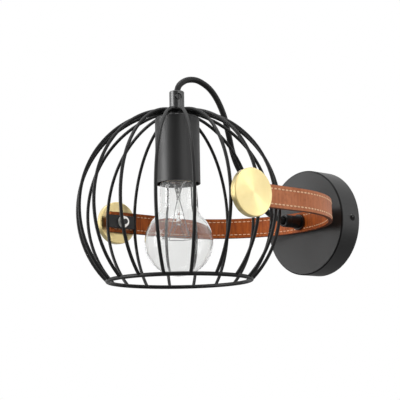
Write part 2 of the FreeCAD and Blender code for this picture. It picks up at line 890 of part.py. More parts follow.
def bulb_filament():
    return stood(Part.makeCompound(filament_strands(filament_radius)), PIVOT, UP)


# Top grip

def grip_direction():
    turn = math.radians(grip_screw_turn)
    return V(math.cos(turn), -math.sin(turn), 0)


def grip_screw_axis():
    return PIVOT + UP * (grip_foot + grip_screw_height)


def top_grip():
    top = grip_foot + top_grip_length
    shape = turned([(0, grip_foot), (top_grip_radius, grip_foot),
                    (top_grip_radius, top - grip_edge_chamfer),
                    (top_grip_radius - grip_edge_chamfer, top), (0, top)])
    shape = shape.cut(rod(tube_radius + thread_clearance, grip_foot - overrun,
                          grip_foot + shade_tube_in_gland + seat_gap, V(), UP))
    bore = cord_radius + grip_cord_clearance
    shape = shape.cut(rod(bore, grip_foot, top + overrun, V(), UP))
    shape = shape.cut(turned([(0, top - grip_mouth_depth), (bore, top - grip_mouth_depth),
                              (grip_mouth_radius, top), (grip_mouth_radius, top + overrun),
                              (0, top + overrun)]))
    shape = stood(shape, PIVOT, UP)
    shape = shape.cut(rod(grip_screw_radius + thread_clearance, 0, top_grip_radius + overrun,
                          grip_screw_axis(), grip_direction()))
    return shape.cut(rod(grip_sink_radius, top_grip_radius - grip_sink_depth,
                         top_grip_radius + overrun, grip_screw_axis(), grip_direction()))


def top_grip_screw():
    tip = cord_radius + thread_clearance
    high = top_grip_radius - grip_screw_drop
    screw = rod(grip_screw_radius, tip, high, V(), UP)
    screw = slotted(screw, small_slot_width, small_slot_depth, high)
    screw = stood(screw, V(), V(1, 0, 0))
    screw.rotate(V(), V(0, 0, 1), -grip_screw_turn)
    screw.translate(grip_screw_axis())
    return screw


# Supply cord: straight runs joined by tangent arcs, as large as the runs allow

def cord_path():
    points = [V(*p) for p in CORD_ROUTE]
    edges = []
    radii = []
    at = points[0]
    for before, point, after in zip(points, points[1:], points[2:]):
        into = (point - before).normalize()
        out = (after - point).normalize()
        turn = into.getAngle(out)
        shorter = min((point - before).Length, (after - point).Length)
        back = 0.45 * shorter
        radius = back / math.tan(turn / 2)
        radii.append(radius)
        start = point - into * back
        end = point + out * back
        towards = (out - into).normalize()
        centre = point + towards * (radius / math.cos(turn / 2))
        middle = centre - towards * radius
        edges.append(Part.LineSegment(at, start).toShape())
        edges.append(Part.Arc(start, middle, end).toShape())
        at = end
    edges.append(Part.LineSegment(at, points[-1]).toShape())
    return Part.Wire(edges), radii


def supply_cord():
    path, radii = cord_path()
    points = [V(*p) for p in CORD_ROUTE]
    section = Part.Wire(Part.makeCircle(cord_radius, points[0], points[1] - points[0]))
    solid = path.makePipeShell([section], True, False)
    print("cord length", round(path.Length, 1),
          "radii", [round(r, 1) for r in radii],
          "volume share", round(solid.Volume / (path.Length * math.pi * cord_radius ** 2), 4))
    return solid


NODES = {
    "canopy_cover": canopy_cover, "wall_bracket": wall_bracket,
    "canopy_side_screws": canopy_side_screws, "terminal_block": terminal_block,
    "terminal_screws": terminal_screws, "earth_screw": earth_screw,
    "earth_washer": earth_washer, "mount_washer": mount_washer,
    "mount_locknut": mount_locknut, "mount_tube": mount_tube, "strap_collar": strap_collar,
    "strap_band": strap_band, "strap_outer_leather": strap_outer_leather,
    "strap_inner_leather": strap_inner_leather, "wall_grip_body": wall_grip_body,
    "wall_grip_nut": wall_grip_nut,
    "knob_right": knob, "knob_left": lambda: mirrored(knob()),
    "knob_stud_right": knob_stud, "knob_stud_left": lambda: mirrored(knob_stud()),
    "pivot_spacers": pivot_spacers, "pivot_washers": pivot_washers, "pivot_nuts": pivot_nuts,
    "cage_ribs": cage_ribs, "cage_ring": cage_ring, "cage_hub": cage_hub,
    "cage_plates": cage_plates, "lamp_cup": lamp_cup, "cup_washer": cup_washer,
    "shade_locknut": shade_locknut, "shade_tube": shade_tube,
    "lampholder_body": lampholder_body, "lampholder_shell": lampholder_shell,
    "lampholder_contact": lampholder_contact, "top_grip": top_grip,
    "top_grip_screw": top_grip_screw,
    "bulb_glass": bulb_glass, "bulb_cap": bulb_cap, "bulb_insulator": bulb_insulator,
    "bulb_tip": bulb_tip, "bulb_stem": bulb_stem, "bulb_leads": bulb_leads,
    "bulb_supports": bulb_supports, "bulb_filament": bulb_filament,
    "supply_cord": supply_cord,
}

for name, make in NODES.items():
    shape = make()
    shape.exportStep("parts/" + name + ".step")
    print(name, len(shape.Solids), round(shape.Volume, 1), shape.isValid())
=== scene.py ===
# %% [markdown]
# # A wall sconce with a tilting cage shade
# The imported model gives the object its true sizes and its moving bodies. This file
# dresses it: each cell makes one piece or one finish, and says what the real one is.
# Lengths are metres, the wall is the plane y = 0 and the light stands out along -y.

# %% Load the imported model
import math

import bmesh
import bpy
from mathutils import Matrix, Vector


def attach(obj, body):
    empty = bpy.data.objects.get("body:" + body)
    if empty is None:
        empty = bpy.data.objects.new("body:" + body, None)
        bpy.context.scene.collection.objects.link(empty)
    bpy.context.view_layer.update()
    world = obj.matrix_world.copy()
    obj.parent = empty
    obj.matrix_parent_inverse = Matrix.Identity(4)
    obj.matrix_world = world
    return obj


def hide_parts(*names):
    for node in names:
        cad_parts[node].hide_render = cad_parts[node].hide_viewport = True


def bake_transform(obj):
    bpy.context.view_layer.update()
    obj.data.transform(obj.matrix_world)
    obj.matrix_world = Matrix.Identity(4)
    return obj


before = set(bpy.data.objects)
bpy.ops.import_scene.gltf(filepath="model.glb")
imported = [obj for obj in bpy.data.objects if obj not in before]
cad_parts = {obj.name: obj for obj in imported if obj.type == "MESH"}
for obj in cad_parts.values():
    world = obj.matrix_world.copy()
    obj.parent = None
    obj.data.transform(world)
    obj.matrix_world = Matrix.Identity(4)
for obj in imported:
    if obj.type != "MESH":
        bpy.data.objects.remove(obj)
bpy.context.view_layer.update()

MM = 0.001
PIVOT = Vector((0, -176, 0)) * MM

# %% [markdown]
# ## The camera
# The photograph was taken from the right and from a little below, with a long lens.
# A fit over the edges of the canopy, cage, knobs and bulb gave the camera's turn,
# height, roll and distance. Its three directions are worked out from those angles,
# so that every number here can be read as a photographer would say it.

# %% Camera at the photograph's viewing angle
turn, height, roll = math.radians(51.18), math.radians(-9.9), math.radians(-1.12)
CAMERA_DISTANCE = 929.86 * MM
AIM_FROM_WALL, AIM_LEFT, AIM_UP = 100 * MM, 40.24 * MM, 15.80 * MM
FOCAL_PIXELS, PICTURE_PIXELS, SENSOR_WIDTH = 1008.1, 400, 36
VIEW_DEPTH = 20

back = Vector((math.sin(turn) * math.cos(height), -math.cos(turn) * math.cos(height),
               math.sin(height)))
right = Vector((math.cos(turn), math.sin(turn), 0))
up = back.cross(right)
aim = Vector((0, -AIM_FROM_WALL, 0)) - right * AIM_LEFT + up * AIM_UP
tilted_right = right * math.cos(roll) + up * math.sin(roll)
tilted_up = up * math.cos(roll) - right * math.sin(roll)

camera = bpy.data.objects.new("camera", bpy.data.cameras.new("camera"))
camera.data.sensor_width = SENSOR_WIDTH
camera.data.lens = SENSOR_WIDTH * FOCAL_PIXELS / PICTURE_PIXELS
camera.data.clip_end = VIEW_DEPTH
placing = Matrix((tilted_right, tilted_up, back)).transposed().to_4x4()
placing.translation = aim + back * CAMERA_DISTANCE
camera.matrix_world = placing
bpy.context.scene.collection.objects.link(camera)
bpy.context.scene.camera = camera
print("camera at", [round(v, 3) for v in camera.location])

# %% [markdown]
# ## The cord
# A round flexible cord leaves the grip on the cage's top, arches over and drops
# behind the cage to the grip on the yoke. It could be a chain of straight pieces,
# but a real cord has one even bend after another, so its line is a NURBS curve
# whose control points are the route. The tube is that curve with a round section,
# turned into a mesh.

# %% The cord's route, and helpers that draw it
CORD_ROUTE = [(0, -176, 100), (0, -176, 109.6), (0, -169, 117), (0, -160.5, 120.6),
              (0, -149.5, 121.1), (0, -134, 113.8), (-0.5, -121.3, 95.5),
              (-3, -113.5, 76), (-7.5, -106, 62), (-10.5, -98.5, 51),
              (-9.5, -90.5, 38.5), (-5.5, -79.5, 19.5), (0, -63.5, 0), (0, -44, 0)]
CORD_RADIUS = 2.75 * MM
LINE_RESOLUTION, ROUND_RESOLUTION = 12, 5


def cord_line(name, radius):
    """The route as a curve object, with a round section if radius isn't zero."""
    curve = bpy.data.curves.new(name, "CURVE")
    curve.dimensions = "3D"
    spline = curve.splines.new("NURBS")
    spline.points.add(len(CORD_ROUTE) - 1)
    for point, place in zip(spline.points, CORD_ROUTE):
        point.co = (*(Vector(place) * MM), 1)
    spline.order_u = 3
    spline.use_endpoint_u = True
    spline.resolution_u = LINE_RESOLUTION
    curve.bevel_depth = radius
    curve.bevel_resolution = ROUND_RESOLUTION
    curve.use_fill_caps = radius > 0
    line = bpy.data.objects.new(name, curve)
    bpy.context.scene.collection.objects.link(line)
    bpy.context.view_layer.update()
    return line


def cord_mesh(name, radius):
    """A mesh read from that curve. The curve itself is then removed."""
    line = cord_line(name + "_line", radius)
    mesh = bpy.data.meshes.new_from_object(line.evaluated_get(
        bpy.context.evaluated_depsgraph_get()))
    bpy.data.objects.remove(line)
    mesh.name = name
    return mesh


def shown(name, mesh, smooth=True):
    """Puts a mesh in the scene as a piece."""
    piece = bpy.data.objects.new(name, mesh)
    bpy.context.scene.collection.objects.link(piece)
    for face in mesh.polygons:
        face.use_smooth = smooth
    return piece


print("cord route of", len(CORD_ROUTE), "points")

# %% Supply cord on one smooth line
cord_path = [v.co.copy() for v in cord_mesh("cord_path", 0).vertices]
cord_length = sum((b - a).length for a, b in zip(cord_path, cord_path[1:]))
cord = shown("cord", cord_mesh("cord", CORD_RADIUS))
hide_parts("supply_cord")
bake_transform(cord)
print("cord length", round(cord_length, 4), "faces", len(cord.data.polygons))

# %% [markdown]
# ## Writing shader sums as sums
# A finish mixes noises and masks, and a long list of nodes and links hides what is
# meant. This small class wraps a socket: `a * 0.3 + b` adds the Math nodes that say
# the same, and `node` adds any other node with its settings and its inputs.

# %% Sockets that can be added and multiplied
class Flow:
    """A value, vector or colour on its way through a material's nodes."""

    def __init__(self, tree, socket=None):
        self.tree = tree
        self.socket = socket

    def node(self, kind, settings=(), inputs=(), out=0):
        """Any node: its settings come first, then its inputs, as values or links."""
        made = self.tree.nodes.new(kind)
        for key, value in dict(settings).items():
            setattr(made, key, value)
        for key, value in dict(inputs).items():
            if isinstance(value, Flow):
                self.tree.links.new(value.socket, made.inputs[key])
            else:
                made.inputs[key].default_value = value
        return Flow(self.tree, made.outputs[out])

    def sum(self, operation, *values):
        """One Math node."""
        return self.node("ShaderNodeMath", {"operation": operation}, enumerate(values))

    def vector(self, operation, *values, out=0):
        """One Vector Math node."""
        return self.node("ShaderNodeVectorMath", {"operation": operation},
                         enumerate(values), out)

    def mix(self, factor, first, second):
        """Colour between first and second, which are a Mix node's inputs 6 and 7."""
        return self.node("ShaderNodeMix", {"data_type": "RGBA"},
                         {0: factor, 6: first, 7: second}, out=2)

    def between(self, low, high):
        """0 below low, 1 above high, smooth between."""
        return self.node("ShaderNodeMapRange", {"interpolation_type": "SMOOTHSTEP"},
                         {0: self, 1: low, 2: high})

    def __add__(self, other):
        return self.sum("ADD", self, other)

    def __sub__(self, other):
        return self.sum("SUBTRACT", self, other)

    def __rsub__(self, other):
        return self.sum("SUBTRACT", other, self)

    def __mul__(self, other):
        return self.sum("MULTIPLY", self, other)

    __radd__ = __add__
    __rmul__ = __mul__


print("shader sums ready")

# %% [markdown]
# ## Starting a finish
# Each finish is one Principled shader. What is the same all over is set on the
# shader itself. What varies is a Flow that is linked to it afterwards. The noises
# all read Object coordinates, which stay put on the piece when it moves. A noise's
# scale is about how many spots it has in a metre: 1000 gives spots a millimetre
# apart. A bump's distance is how high those spots would stand, in metres.

# %% Helpers that start a finish and make its noises
def rgb(red, green, blue):
    """A colour as a picture editor gives it, 0 to 255, for a shader."""
    def linear(value):
        value = value / 255
        return value / 12.92 if value < 0.04045 else ((value + 0.055) / 1.055) ** 2.4
    return (linear(red), linear(green), linear(blue), 1)


def grey(value):
    """A grey for a shader, whose share of light is 0 to 1."""
    return (value, value, value, 1)


class Finish:
    """A material with one Principled shader."""

    def __init__(self, name, **fixed):
        self.material = bpy.data.materials.new(name)
        self.material.use_nodes = True
        self.tree = self.material.node_tree
        self.shader = self.tree.nodes["Principled BSDF"]
        for key, value in fixed.items():
            self.shader.inputs[key.replace("_", " ")].default_value = value
        self.flow = Flow(self.tree)
        self.place = self.flow.node("ShaderNodeTexCoord", out="Object")

    def link(self, **varying):
        for key, value in varying.items():
            self.tree.links.new(value.socket, self.shader.inputs[key.replace("_", " ")])

    def noise(self, scale, detail=3.0, place=None):
        return self.flow.node("ShaderNodeTexNoise", (),
                              {"Vector": place or self.place, "Scale": scale,
                               "Detail": detail})

    def axis(self, name):
        return self.flow.node("ShaderNodeSeparateXYZ", (), {0: self.place}, name)

    def bump(self, height, strength, distance):
        return self.flow.node("ShaderNodeBump", (), {"Height": height, "Strength": strength,
                                                     "Distance": distance})


def dress(names, finish):
    """Gives CAD nodes a finish in place of their plain one."""
    for name in names:
        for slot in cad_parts[name].material_slots:
            slot.material = finish.material
    print(finish.material.name, "on", ", ".join(names))


print("finish helpers ready")

# %% [markdown]
# ## Satin black powder coat
# The collar, cage, lamp cup and canopy are steel with a baked black powder coat. It
# is not quite smooth: a very fine orange peel breaks the highlights, and the gloss
# changes a little from place to place. Both come from noises in the bump and the
# roughness. The wires are drawn darker than the large faces, and mirror less.

# %% Black powder coat
CLOUD_SCALE, PEEL_SCALE, PEEL_DETAIL = 45.0, 1600.0, 2.0
SATIN, CLOUD_DULLS, PEEL_DULLS = 0.38, 0.08, 0.05
FINE_BUMP = 0.05 * MM
PAINT = {"dark": 0.008, "light": 0.014, "shine": 0.5}


def powder_coat(name, dark, light, shine):
    """Black paint between two greys. Shine is how much it mirrors."""
    coat = Finish(name, IOR=1.5, Specular_IOR_Level=shine)
    cloud = coat.noise(CLOUD_SCALE)
    peel = coat.noise(PEEL_SCALE, PEEL_DETAIL)
    coat.link(Base_Color=coat.flow.mix(cloud, grey(dark), grey(light)),
              Roughness=SATIN + cloud * CLOUD_DULLS + peel * PEEL_DULLS,
              Normal=coat.bump(peel, 0.12, FINE_BUMP))
    return coat


dress(["strap_collar", "pivot_spacers", "cage_plates", "lamp_cup", "cup_washer"],
      powder_coat("black_powder_coat", **PAINT))
dress(["cage_ribs", "cage_ring", "cage_hub"],
      powder_coat("wire_coat", dark=0.004, light=0.008, shine=0.26))

# %% [markdown]
# ## The canopy's front edge
# Where the canopy's front turns into its side, a thin dark line runs round the edge.
# It is painted shade. It could be a piece of its own, but it has no thickness, so a
# mask in the canopy's paint draws it. A metal that is nearly black mirrors almost
# nothing, so the mask feeds Metallic.

# %% Painted shade line on the canopy's edge
CANOPY_RADIUS, CANOPY_DEPTH = 50.8 * MM, 23 * MM
SHADE_LINE_START, SHADE_LINE_FULL = 1.4 * MM, 1.1 * MM
SHADE_LINE_METALLIC = 0.85

canopy_coat = powder_coat("canopy_powder_coat", **PAINT)
across_wall = canopy_coat.flow.vector("MULTIPLY", canopy_coat.place, (1, 0, 1))
from_middle = canopy_coat.flow.vector("LENGTH", across_wall, out="Value")
front = (0 - canopy_coat.axis("Y")).between(CANOPY_DEPTH - SHADE_LINE_START,
                                            CANOPY_DEPTH - SHADE_LINE_FULL)
# painted shade: a thin dark line round the canopy's front edge
painted_shade_line = from_middle.between(CANOPY_RADIUS - SHADE_LINE_START,
                                 CANOPY_RADIUS - SHADE_LINE_FULL) * front
canopy_coat.link(Metallic=painted_shade_line * SHADE_LINE_METALLIC)
dress(["canopy_cover"], canopy_coat)

# %% [markdown]
# ## Black plastic, anodised metal and the cord's sheath
# The wall grip and the knobs' studs are moulded black plastic, a little glossier
# than the paint, with a faint flow pattern. The top grip is black anodised metal,
# and the small screws have a shiny black oxide. The cord's sheath is softer and
# duller. All are made alike: one noise moves the colour and the gloss together.

# %% Black plastic, anodised metal and oxide
class Mottled(Finish):
    """A finish whose colour and gloss follow one noise, its spots."""

    def __init__(self, name, scale, detail, dark, light, roughness, drift, **fixed):
        super().__init__(name, **fixed)
        self.spots = self.noise(scale, detail)
        self.link(Base_Color=self.flow.mix(self.spots, dark, light),
                  Roughness=roughness + self.spots * drift)


plastic = Mottled("black_grip_plastic", scale=220.0, detail=4.0, dark=grey(0.004),
                  light=(0.010, 0.009, 0.009, 1), roughness=0.26, drift=0.1, IOR=1.48)
plastic.link(Normal=plastic.bump(plastic.spots, 0.08, FINE_BUMP))
dress(["wall_grip_body", "wall_grip_nut", "knob_stud_right", "knob_stud_left"], plastic)

anodised = Mottled("black_anodised", scale=300.0, detail=3.0, dark=grey(0.014),
                   light=grey(0.024), roughness=0.27, drift=0.08, IOR=1.7)
fine_peel = anodised.noise(PEEL_SCALE, PEEL_DETAIL)
anodised.link(Normal=anodised.bump(fine_peel, 0.06, FINE_BUMP))
dress(["top_grip"], anodised)

oxide = Mottled("black_oxide", scale=500.0, detail=2.0, dark=grey(0.003),
                light=grey(0.008), roughness=0.1, drift=0.06, IOR=1.5,
                Specular_IOR_Level=0.4)
dress(["canopy_side_screws", "top_grip_screw"], oxide)

# %% Cord sheath
sheath = Mottled("cord_sheath", scale=900.0, detail=3.0, dark=grey(0.007),
                 light=grey(0.015), roughness=0.38, drift=0.14, IOR=1.5,
                 Specular_IOR_Level=0.25)
sheath.link(Normal=sheath.bump(sheath.spots, 0.1, FINE_BUMP))
cord.data.materials.clear()
cord.data.materials.append(sheath.material)
print("cord sheath on cord")

# %% [markdown]
# ## Tan brown leather
# The strap is smooth leather over a steel band. Its colour drifts from place to
# place, its face has a fine pebbled grain with pores, and its cut edges are painted
# dark. Along the stitch lines the thread pulls a shallow groove, and creases run
# across the strap. Both are darkened with painted shade. Height across the strap is
# the z coordinate, so masks on z find the edges and the stitch lines. The creases'
# noise is drawn out in z.

# %% Leather with grain, grooves and painted edges
STRAP_HALF_WIDTH, STITCH_INSET = 9.8 * MM, 3.4 * MM
GROOVE_BOTTOM, GROOVE_SIDE = 0.1 * MM, 0.9 * MM
PAINT_START, PAINT_FULL = 0.6 * MM, 0.2 * MM
DRIFT_SCALE, MOTTLE_SCALE, CREASE_SCALE, PORE_SCALE = 28.0, 260.0, 520.0, 1300.0
CREASE_DRAW = (1, 1, 0.13)
PORE_HEIGHT, MOTTLE_HEIGHT, GROOVE_DEPTH, CREASE_DEPTH = 0.35, 0.3, 1.6, 0.5
GRAIN_BUMP = 0.2 * MM
EDGE_PAINT = rgb(70, 34, 20)


def leather_finish(name, dark, light, deep_tone_and_shade, crease_shade, shine):
    """One side of the hide, dark to light, with darker spots and painted shade in hollows.
    """
    hide = Finish(name, IOR=1.45, Specular_IOR_Level=shine)
    across = hide.flow.sum("ABSOLUTE", hide.axis("Z"))
    drift = hide.noise(DRIFT_SCALE, 4.0)
    mottle = hide.noise(MOTTLE_SCALE, 5.0)
    drawn_out = hide.flow.vector("MULTIPLY", hide.place, CREASE_DRAW)
    creases_and_shade = hide.noise(CREASE_SCALE, 3.0, drawn_out).between(0.42, 0.66)
    pores = hide.flow.node("ShaderNodeTexVoronoi", {"feature": "DISTANCE_TO_EDGE"},
                           {"Vector": hide.place, "Scale": PORE_SCALE})
    colour = hide.flow.mix(drift.between(0.3, 0.7), dark, light)
    colour = hide.flow.mix(mottle.between(0.45, 0.75) * 0.3, colour, deep_tone_and_shade)
    # painted shade in the creases
    colour = hide.flow.mix(creases_and_shade * crease_shade, colour, deep_tone_and_shade)
    off_line = hide.flow.sum("ABSOLUTE", across - (STRAP_HALF_WIDTH - STITCH_INSET))
    groove_and_shade = 1 - off_line.between(GROOVE_BOTTOM, GROOVE_SIDE)
    # painted shade at the bottom of the stitch groove
    colour = hide.flow.mix(groove_and_shade * 0.4, colour, deep_tone_and_shade)
    painted_edge = across.between(STRAP_HALF_WIDTH - PAINT_START,
                                  STRAP_HALF_WIDTH - PAINT_FULL)
    colour = hide.flow.mix(painted_edge * 0.8, colour, EDGE_PAINT)
    relief = (pores.between(0.0, 0.25) * PORE_HEIGHT + mottle * MOTTLE_HEIGHT
              - groove_and_shade * GROOVE_DEPTH - creases_and_shade * CREASE_DEPTH)
    hide.link(Base_Color=colour, Roughness=0.42 + mottle * 0.2 + painted_edge * 0.1,
              Normal=hide.bump(relief, 0.35, GRAIN_BUMP))
    return hide


dress(["strap_outer_leather"], leather_finish(
    "outer_leather", dark=rgb(186, 108, 66), light=rgb(204, 126, 83),
    deep_tone_and_shade=rgb(136, 70, 42), crease_shade=0.26, shine=0.4))
dress(["strap_inner_leather"], leather_finish(
    "inner_leather", dark=rgb(162, 76, 21), light=rgb(194, 98, 32),
    deep_tone_and_shade=rgb(108, 44, 10), crease_shade=0.5, shine=0.32))

# %% [markdown]
# ## Stitches
# A waxed pale thread runs along both edges of the strap, inside and outside, and
# across its two square ends. The dashes could be painted, but real thread stands
# proud and catches light. So each stitch is a small long ball, sunk into the
# leather, and the strap's line is walked at a steady pitch to place them. On the
# inside the thread is pulled tighter and looks narrower.

# %% Walk the strap's line
ARM_CENTRE = Vector((0, -118.7, 0)) * MM
HALF_SPAN, THICKNESS = 90 * MM, 3.5 * MM
ARM_END = -187 * MM
ARM = ARM_CENTRE.y - ARM_END


def strap_point(share, radius):
    """At a share of the way along one face of the strap: the place, the direction
    along the strap and the direction out of its curve."""
    half_round = math.pi * radius
    way = share * (2 * ARM + half_round)
    if way < ARM:
        return Vector((radius, ARM_END + way, 0)), Vector((0, 1, 0)), Vector((1, 0, 0))
    if way > ARM + half_round:
        place = Vector((-radius, ARM_CENTRE.y - (way - ARM - half_round), 0))
        return place, Vector((0, -1, 0)), Vector((-1, 0, 0))
    angle = (way - ARM) / radius
    out = Vector((math.cos(angle), math.sin(angle), 0))
    return ARM_CENTRE + out * radius, Vector((-out.y, out.x, 0)), out


print("strap line", round(2 * ARM + math.pi * HALF_SPAN, 4))

# %% Stitches along the edges and across the ends
STITCH_PITCH, STITCH_LENGTH = 4.3 * MM, 3.6 * MM
STITCH_RISE, STITCH_SINK = 0.4 * MM, 0.06 * MM
INNER_HALF_WIDTH, OUTER_HALF_WIDTH = 0.42 * MM, 0.7 * MM


def stitch(mesh, place, along, out, half_width):
    """One stitch: a ball stretched along the thread and flattened against the face."""
    side = out.cross(along)
    turned = Matrix((along, side, out)).transposed().to_4x4()
    size = Matrix.Diagonal((STITCH_LENGTH / 2, half_width, STITCH_RISE, 1))
    bmesh.ops.create_uvsphere(mesh, u_segments=8, v_segments=5, radius=1,
                              matrix=Matrix.Translation(place) @ turned @ size)


def stitch_rows():
    """All stitches as one piece. Into the leather is outwards on the inner face."""
    mesh = bmesh.new()
    count = 0
    row = STRAP_HALF_WIDTH - STITCH_INSET
    inset_share = STITCH_INSET / (2 * ARM + math.pi * HALF_SPAN)
    across_steps = round(2 * row / STITCH_PITCH)
    for radius, sink, half_width in (
            (HALF_SPAN, -STITCH_SINK, INNER_HALF_WIDTH),
            (HALF_SPAN + THICKNESS, STITCH_SINK, OUTER_HALF_WIDTH)):
        total = 2 * ARM + math.pi * radius
        steps = round((total - 2 * STITCH_INSET) / STITCH_PITCH)
        for step in range(steps):
            share = inset_share + (1 - 2 * inset_share) * (step + 0.5) / steps
            place, along, out = strap_point(share, radius)
            for side in (1, -1):
                edge = place + Vector((0, 0, side * row)) - out * sink
                stitch(mesh, edge, along, out, half_width)
                count += 1
        for side in (1, -1):
            for step in range(across_steps):
                z = -row + 2 * row * (step + 0.5) / across_steps
                out = Vector((side, 0, 0))
                place = Vector((side * radius, ARM_END + STITCH_INSET, z)) - out * sink
                stitch(mesh, place, Vector((0, 0, 1)), out, half_width)
                count += 1
    data = bpy.data.meshes.new("stitches")
    mesh.to_mesh(data)
    mesh.free()
    print("stitches", count, "faces", len(data.polygons))
    return shown("stitches", data)


stitches = stitch_rows()
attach(stitches, "wall_mount")

# %% Waxed thread
thread = Mottled("waxed_thread", scale=2600.0, detail=2.0, dark=rgb(238, 186, 142),
                 light=rgb(255, 226, 190), roughness=0.55, drift=0.2,
                 Specular_IOR_Level=0.08)
thread.link(Normal=thread.bump(thread.spots, 0.3, 2 * FINE_BUMP))
stitches.data.materials.append(thread.material)
print("waxed thread on stitches")

# %% [markdown]
# ## Turned brass
# The thumb knobs are turned on a lathe and only lightly polished. The tool leaves
# rings far finer than the eye can see, and they spread each reflection outwards
# from the middle: a bright cone that runs across the face. A bump is too coarse for
# that, so the normal itself is tipped towards and away from the knob's axis by a
# fast wave of the distance from it. The narrow chamfer isn't polished at all, and a
# thin coat of lacquer keeps the brass from going brown.

# %% Lathe rings in the brass
RING_WAVE, RING_TILT = 31000.0, 0.2

brass = Finish("turned_brass", Metallic=1.0, Coat_Weight=0.6, Coat_Roughness=0.25)
from_pivot = brass.flow.vector("SUBTRACT", brass.place, tuple(PIVOT))
from_axis = brass.flow.vector("MULTIPLY", from_pivot, (0, 1, 1))
distance = brass.flow.vector("LENGTH", from_axis, out="Value")
outwards = brass.flow.node("ShaderNodeVectorTransform",
                           {"vector_type": "VECTOR", "convert_from": "OBJECT",
                            "convert_to": "WORLD"},
                           {0: brass.flow.vector("NORMALIZE", from_axis)})
rings = brass.flow.sum("SINE", distance * RING_WAVE)
tipped = brass.flow.node("ShaderNodeVectorMath", {"operation": "SCALE"},
                         {0: outwards, "Scale": rings * RING_TILT})
facing = brass.flow.node("ShaderNodeNewGeometry", out="Normal")
print("lathe rings", round(2 * math.pi / RING_WAVE / MM, 2), "mm apart")

# %% Polish, chamfer and tarnish of the brass
KNOB_RADIUS, CHAMFER, CHAMFER_BLUR = 20 * MM, 0.7 * MM, 0.05 * MM
RIM_START, RIM_FULL = 0.15 * MM, 0.07 * MM
POLISHED, TARNISH_DULLS, CHAMFER_DULLS = 0.26, 0.05, 0.4

face_radius = KNOB_RADIUS - CHAMFER
past_face = distance.between(face_radius - CHAMFER_BLUR, face_radius + CHAMFER_BLUR)
at_rim = distance.between(KNOB_RADIUS - RIM_START, KNOB_RADIUS - RIM_FULL)
chamfer = past_face * (1 - at_rim)
tarnish = brass.noise(90.0, 5.0)
brass.link(Base_Color=brass.flow.mix(tarnish.between(0.35, 0.7), (0.80, 0.65, 0.30, 1),
                                     (0.84, 0.69, 0.335, 1)),
           Roughness=POLISHED + tarnish * TARNISH_DULLS + chamfer * CHAMFER_DULLS,
           Normal=brass.flow.vector("NORMALIZE", brass.flow.vector("ADD", facing, tipped)))
dress(["knob_right", "knob_left"], brass)

# %% [markdown]
# ## Small metal pieces
# Screws, nuts and tubes are zinc plated steel, bright with a faint bluish mottle.
# The nuts that hold the shade have a whiter nickel plate.
# The lampholder's screw shell and contact and the bulb's cap are plain brass, dulled
# by handling. The bulb's tip is bare aluminium, and the wires inside it are dark.
# Bare metals differ mostly in colour, so one function makes them all.

# %% Zinc, nickel, plain brass, aluminium and steel
def plain_metal(name, dark, light, roughness):
    """A bare metal whose colour and gloss drift a little."""
    metal = Mottled(name, scale=240.0, detail=4.0, dark=dark, light=light,
                    roughness=roughness, drift=0.14, Metallic=1.0)
    metal.link(Normal=metal.bump(metal.noise(1500.0), 0.06, FINE_BUMP))
    return metal


dress(["wall_bracket", "earth_washer", "mount_washer", "mount_locknut", "mount_tube",
       "shade_locknut", "shade_tube"],
      plain_metal("zinc_plate", (0.52, 0.53, 0.55, 1), (0.72, 0.72, 0.73, 1), 0.24))
dress(["pivot_washers", "pivot_nuts"],
      plain_metal("dull_nickel", (0.84, 0.83, 0.80, 1), (0.92, 0.91, 0.88, 1), 0.28))
dress(["terminal_screws", "earth_screw", "lampholder_shell", "lampholder_contact",
       "bulb_cap"],
      plain_metal("plain_brass", (0.46, 0.34, 0.15, 1), (0.66, 0.50, 0.24, 1), 0.3))
dress(["bulb_tip"], plain_metal("bare_aluminium", grey(0.6), grey(0.78), 0.3))
dress(["strap_band"],
      plain_metal("spring_steel", (0.3, 0.3, 0.31, 1), (0.45, 0.45, 0.46, 1), 0.35))
dress(["bulb_leads", "bulb_supports", "bulb_filament"],
      plain_metal("lamp_wire", grey(0.14), (0.28, 0.27, 0.26, 1), 0.35))

# %% [markdown]
# ## Ceramic and insulators
# The lampholder's body is a brown glazed ceramic, the terminal block white moulded
# plastic, and the ring round the bulb's tip dark glass. They hardly show, so their
# mottle alone tells them apart.

# %% Ceramic, white plastic and dark glass
dress(["lampholder_body"], Mottled(
    "lampholder_ceramic", scale=700.0, detail=3.0, dark=(0.085, 0.06, 0.018, 1),
    light=(0.17, 0.122, 0.04, 1), roughness=0.3, drift=0.15))
dress(["terminal_block"], Mottled(
    "white_block_plastic", scale=150.0, detail=3.0, dark=(0.72, 0.72, 0.68, 1),
    light=(0.82, 0.82, 0.79, 1), roughness=0.45, drift=0.1))
dress(["bulb_insulator"], Mottled(
    "insulator_glass", scale=400.0, detail=3.0, dark=(0.02, 0.02, 0.03, 1),
    light=(0.06, 0.06, 0.07, 1), roughness=0.12, drift=0.1))

# %% [markdown]
# ## The bulb's glass
# The globe, shoulder and neck are one blown wall less than a millimetre thick. Its
# outline is drawn by spinning one point: round the globe's centre, then the other
# way round the shoulder's centre, then straight up the neck. Spinning that line
# round the axis gives the outer face, and solidify gives the wall its thickness.

# %% Blown glass bulb
GLOBE, SHOULDER, NECK = 30 * MM, 18 * MM, 16.3 * MM
GLOBE_DROP, GLASS_WALL = 29 * MM, 0.8 * MM
NECK_RADII_AND_HEIGHTS = ((16.3, 22.4), (15.8, 23.6), (14.4, 25.0), (12.65, 26.0),
                          (12.65, 28.0))
GLOBE_STEPS, SHOULDER_STEPS, ROUND_STEPS = 40, 14, 72
SAME_POINT = 0.02 * MM


def spun_point(mesh, start, centre, angle, steps):
    """Spins one vertex about the y direction through centre and returns the last one."""
    made = bmesh.ops.spin(mesh, geom=[start], cent=centre, axis=(0, -1, 0), angle=angle,
                          steps=steps, use_merge=False)
    return [v for v in made["geom_last"] if isinstance(v, bmesh.types.BMVert)][0]


